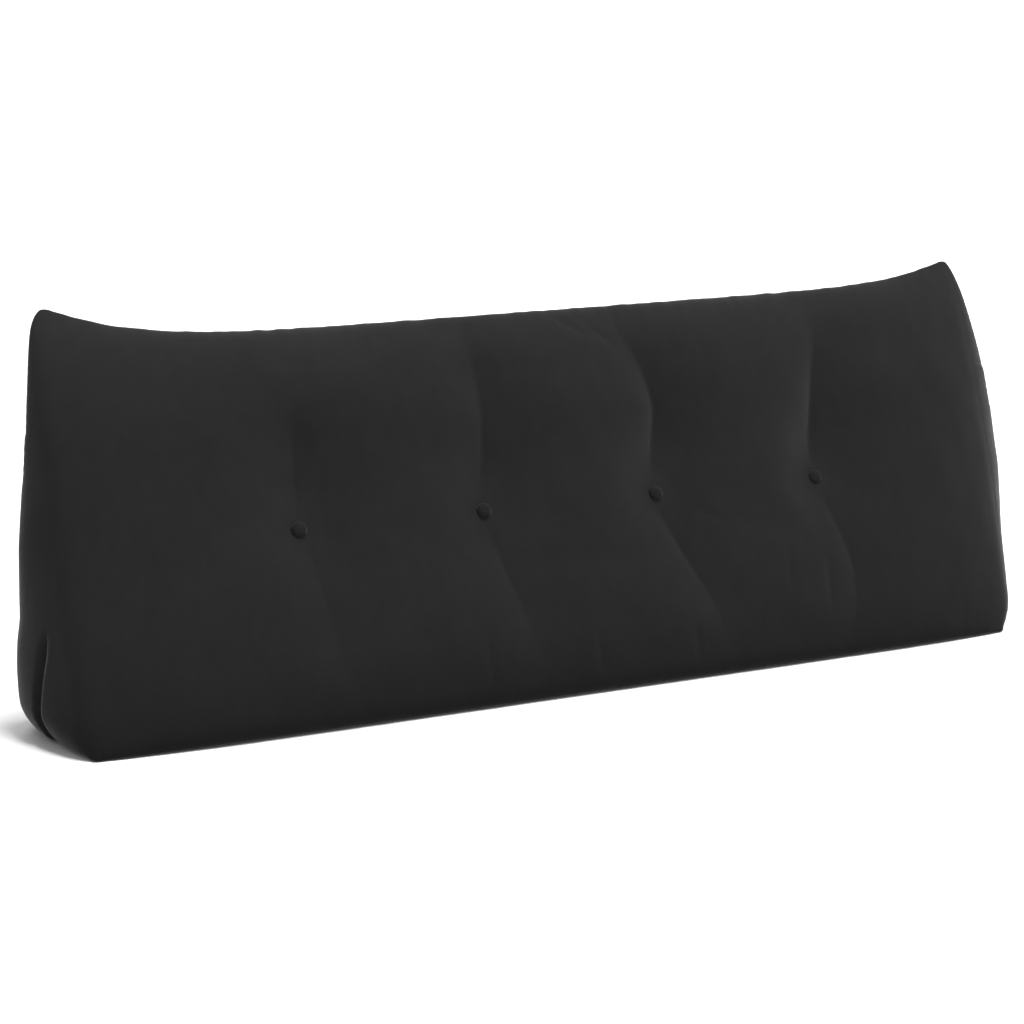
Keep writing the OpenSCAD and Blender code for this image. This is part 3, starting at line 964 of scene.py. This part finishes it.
STITCH_PITCH = 0.0042
STITCH_SIZE = (0.0016, 0.0004, 0.0005)
STITCH_ROW = 0.0125
STITCH_END = 0.012
sewn = []
for side in (-1, 1):
    row_z = ZIP_Z + side * STITCH_ROW
    for x_place in np.arange(TAPE_LO[0] + STITCH_END, TAPE_HI[0] - STITCH_END, STITCH_PITCH):
        hit, normal = back_surface(x_place, row_z)
        sewn.append((hit, Vector((1, 0, 0)), normal))
zip_seam = stitches("zip_stitching", sewn, STITCH_SIZE, thread)
place(zip_seam, "cover_fabric")

LABEL_ACROSS, LABEL_UP, LABEL_T = 24, 14, 0.0005
lo, hi = (np.array(p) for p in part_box("care_label"))
label_points, label_faces = [], []
for j in range(LABEL_UP + 1):
    for i in range(LABEL_ACROSS + 1):
        px = lo[0] + (hi[0] - lo[0]) * i / LABEL_ACROSS
        pz = lo[2] + (hi[2] - lo[2]) * j / LABEL_UP
        hit, normal = back_surface(px, pz)
        swell = math.sin(math.pi * i / LABEL_ACROSS) * math.sin(math.pi * j / LABEL_UP) ** 0.5
        lift = 0.0006 + 0.0012 * swell
        label_points.append(tuple(hit + normal * (lift + LABEL_T)))
wide = LABEL_ACROSS + 1
for j in range(LABEL_UP):
    for i in range(LABEL_ACROSS):
        a = j * wide + i
        label_faces.append((a, a + wide, a + wide + 1, a + 1))
label_points = np.array(label_points)
facing = np.tile(np.array(back_surface(0.55, 0.064)[1]), (len(label_points), 1))
label = cloth_shell("care_label_cloth", label_points, facing, np.array(label_faces), LABEL_T, satin)
place(label, "label_satin", "care_label")
LABEL_STITCHES = 12
LABEL_HEM = 0.003
label_sewn = []
for i in range(LABEL_STITCHES):
    for px in (lo[0] + LABEL_HEM, hi[0] - LABEL_HEM):
        pz = lo[2] + (hi[2] - lo[2]) * (i + 0.5) / LABEL_STITCHES
        hit, normal = back_surface(px, pz)
        label_sewn.append((hit + normal * 0.0013, Vector((0, 0, 1)), normal))
label_seam = stitches("label_stitching", label_sewn, (0.0009, 0.0003, 0.0004), thread)
place(label_seam, "label_satin")

# ---- floor, light and camera --------------------------------------------------------------------

bpy.ops.mesh.primitive_plane_add(size=40, location=(0, 0, -0.0005))
floor = bpy.context.object
floor.name = "floor"
pale = Material("floor", (0.74, 0.74, 0.74), 0.8, Specular_IOR_Level=0.0)
floor.data.materials.append(pale.mat)

# light, with the directions it comes from, and the camera of the photograph
SKY = 0.55
HORIZON = 1.05
SUN = 5.1
SUN_FROM = (0.28, -0.15, 1.05)
BACK_SUN = 2.0
BACK_SUN_FROM = (0.25, 0.90, 0.40)
LENS = 77.75
CAMERA_AT = (-1.303, -2.4925, 0.8152)
AZIMUTH, ELEVATION = math.radians(-26.19), math.radians(12.06)

world = bpy.data.worlds.new("world")
bpy.context.scene.world = world
world.use_nodes = True
sky = world.node_tree
direction = sky.nodes.new("ShaderNodeTexCoord")
height = sky.nodes.new("ShaderNodeSeparateXYZ")
ramp = sky.nodes.new("ShaderNodeMapRange")
ramp.inputs["From Min"].default_value = 0.06
ramp.inputs["From Max"].default_value = 0.25
ramp.inputs["To Min"].default_value = HORIZON
ramp.inputs["To Max"].default_value = SKY
sky.links.new(direction.outputs["Generated"], height.inputs[0])
sky.links.new(height.outputs["Z"], ramp.inputs["Value"])
sky.links.new(ramp.outputs[0], sky.nodes["Background"].inputs["Strength"])
sky.nodes["Background"].inputs["Color"].default_value = (1, 1, 1, 1)
bpy.context.scene.view_settings.view_transform = "Standard"


def sun_lamp(name, energy, angle, direction):
    """A soft sun that shines from that direction. The angle is its width in degrees."""
    lamp = bpy.data.lights.new(name, "SUN")
    lamp.angle = math.radians(angle)
    lamp.energy = energy
    obj = new_object(name, lamp)
    obj.rotation_euler = Vector(direction).to_track_quat("Z", "Y").to_euler()


sun_lamp("key", SUN, 25, SUN_FROM)
sun_lamp("fill_light", BACK_SUN, 40, BACK_SUN_FROM)

camera = new_object("camera", bpy.data.cameras.new("camera"))
camera.data.lens = LENS
camera.location = CAMERA_AT
flat = math.cos(ELEVATION)
back = Vector((math.sin(AZIMUTH) * flat, -math.cos(AZIMUTH) * flat, math.sin(ELEVATION)))
camera.rotation_euler = (-back).to_track_quat("-Z", "Y").to_euler()
bpy.context.scene.camera = camera
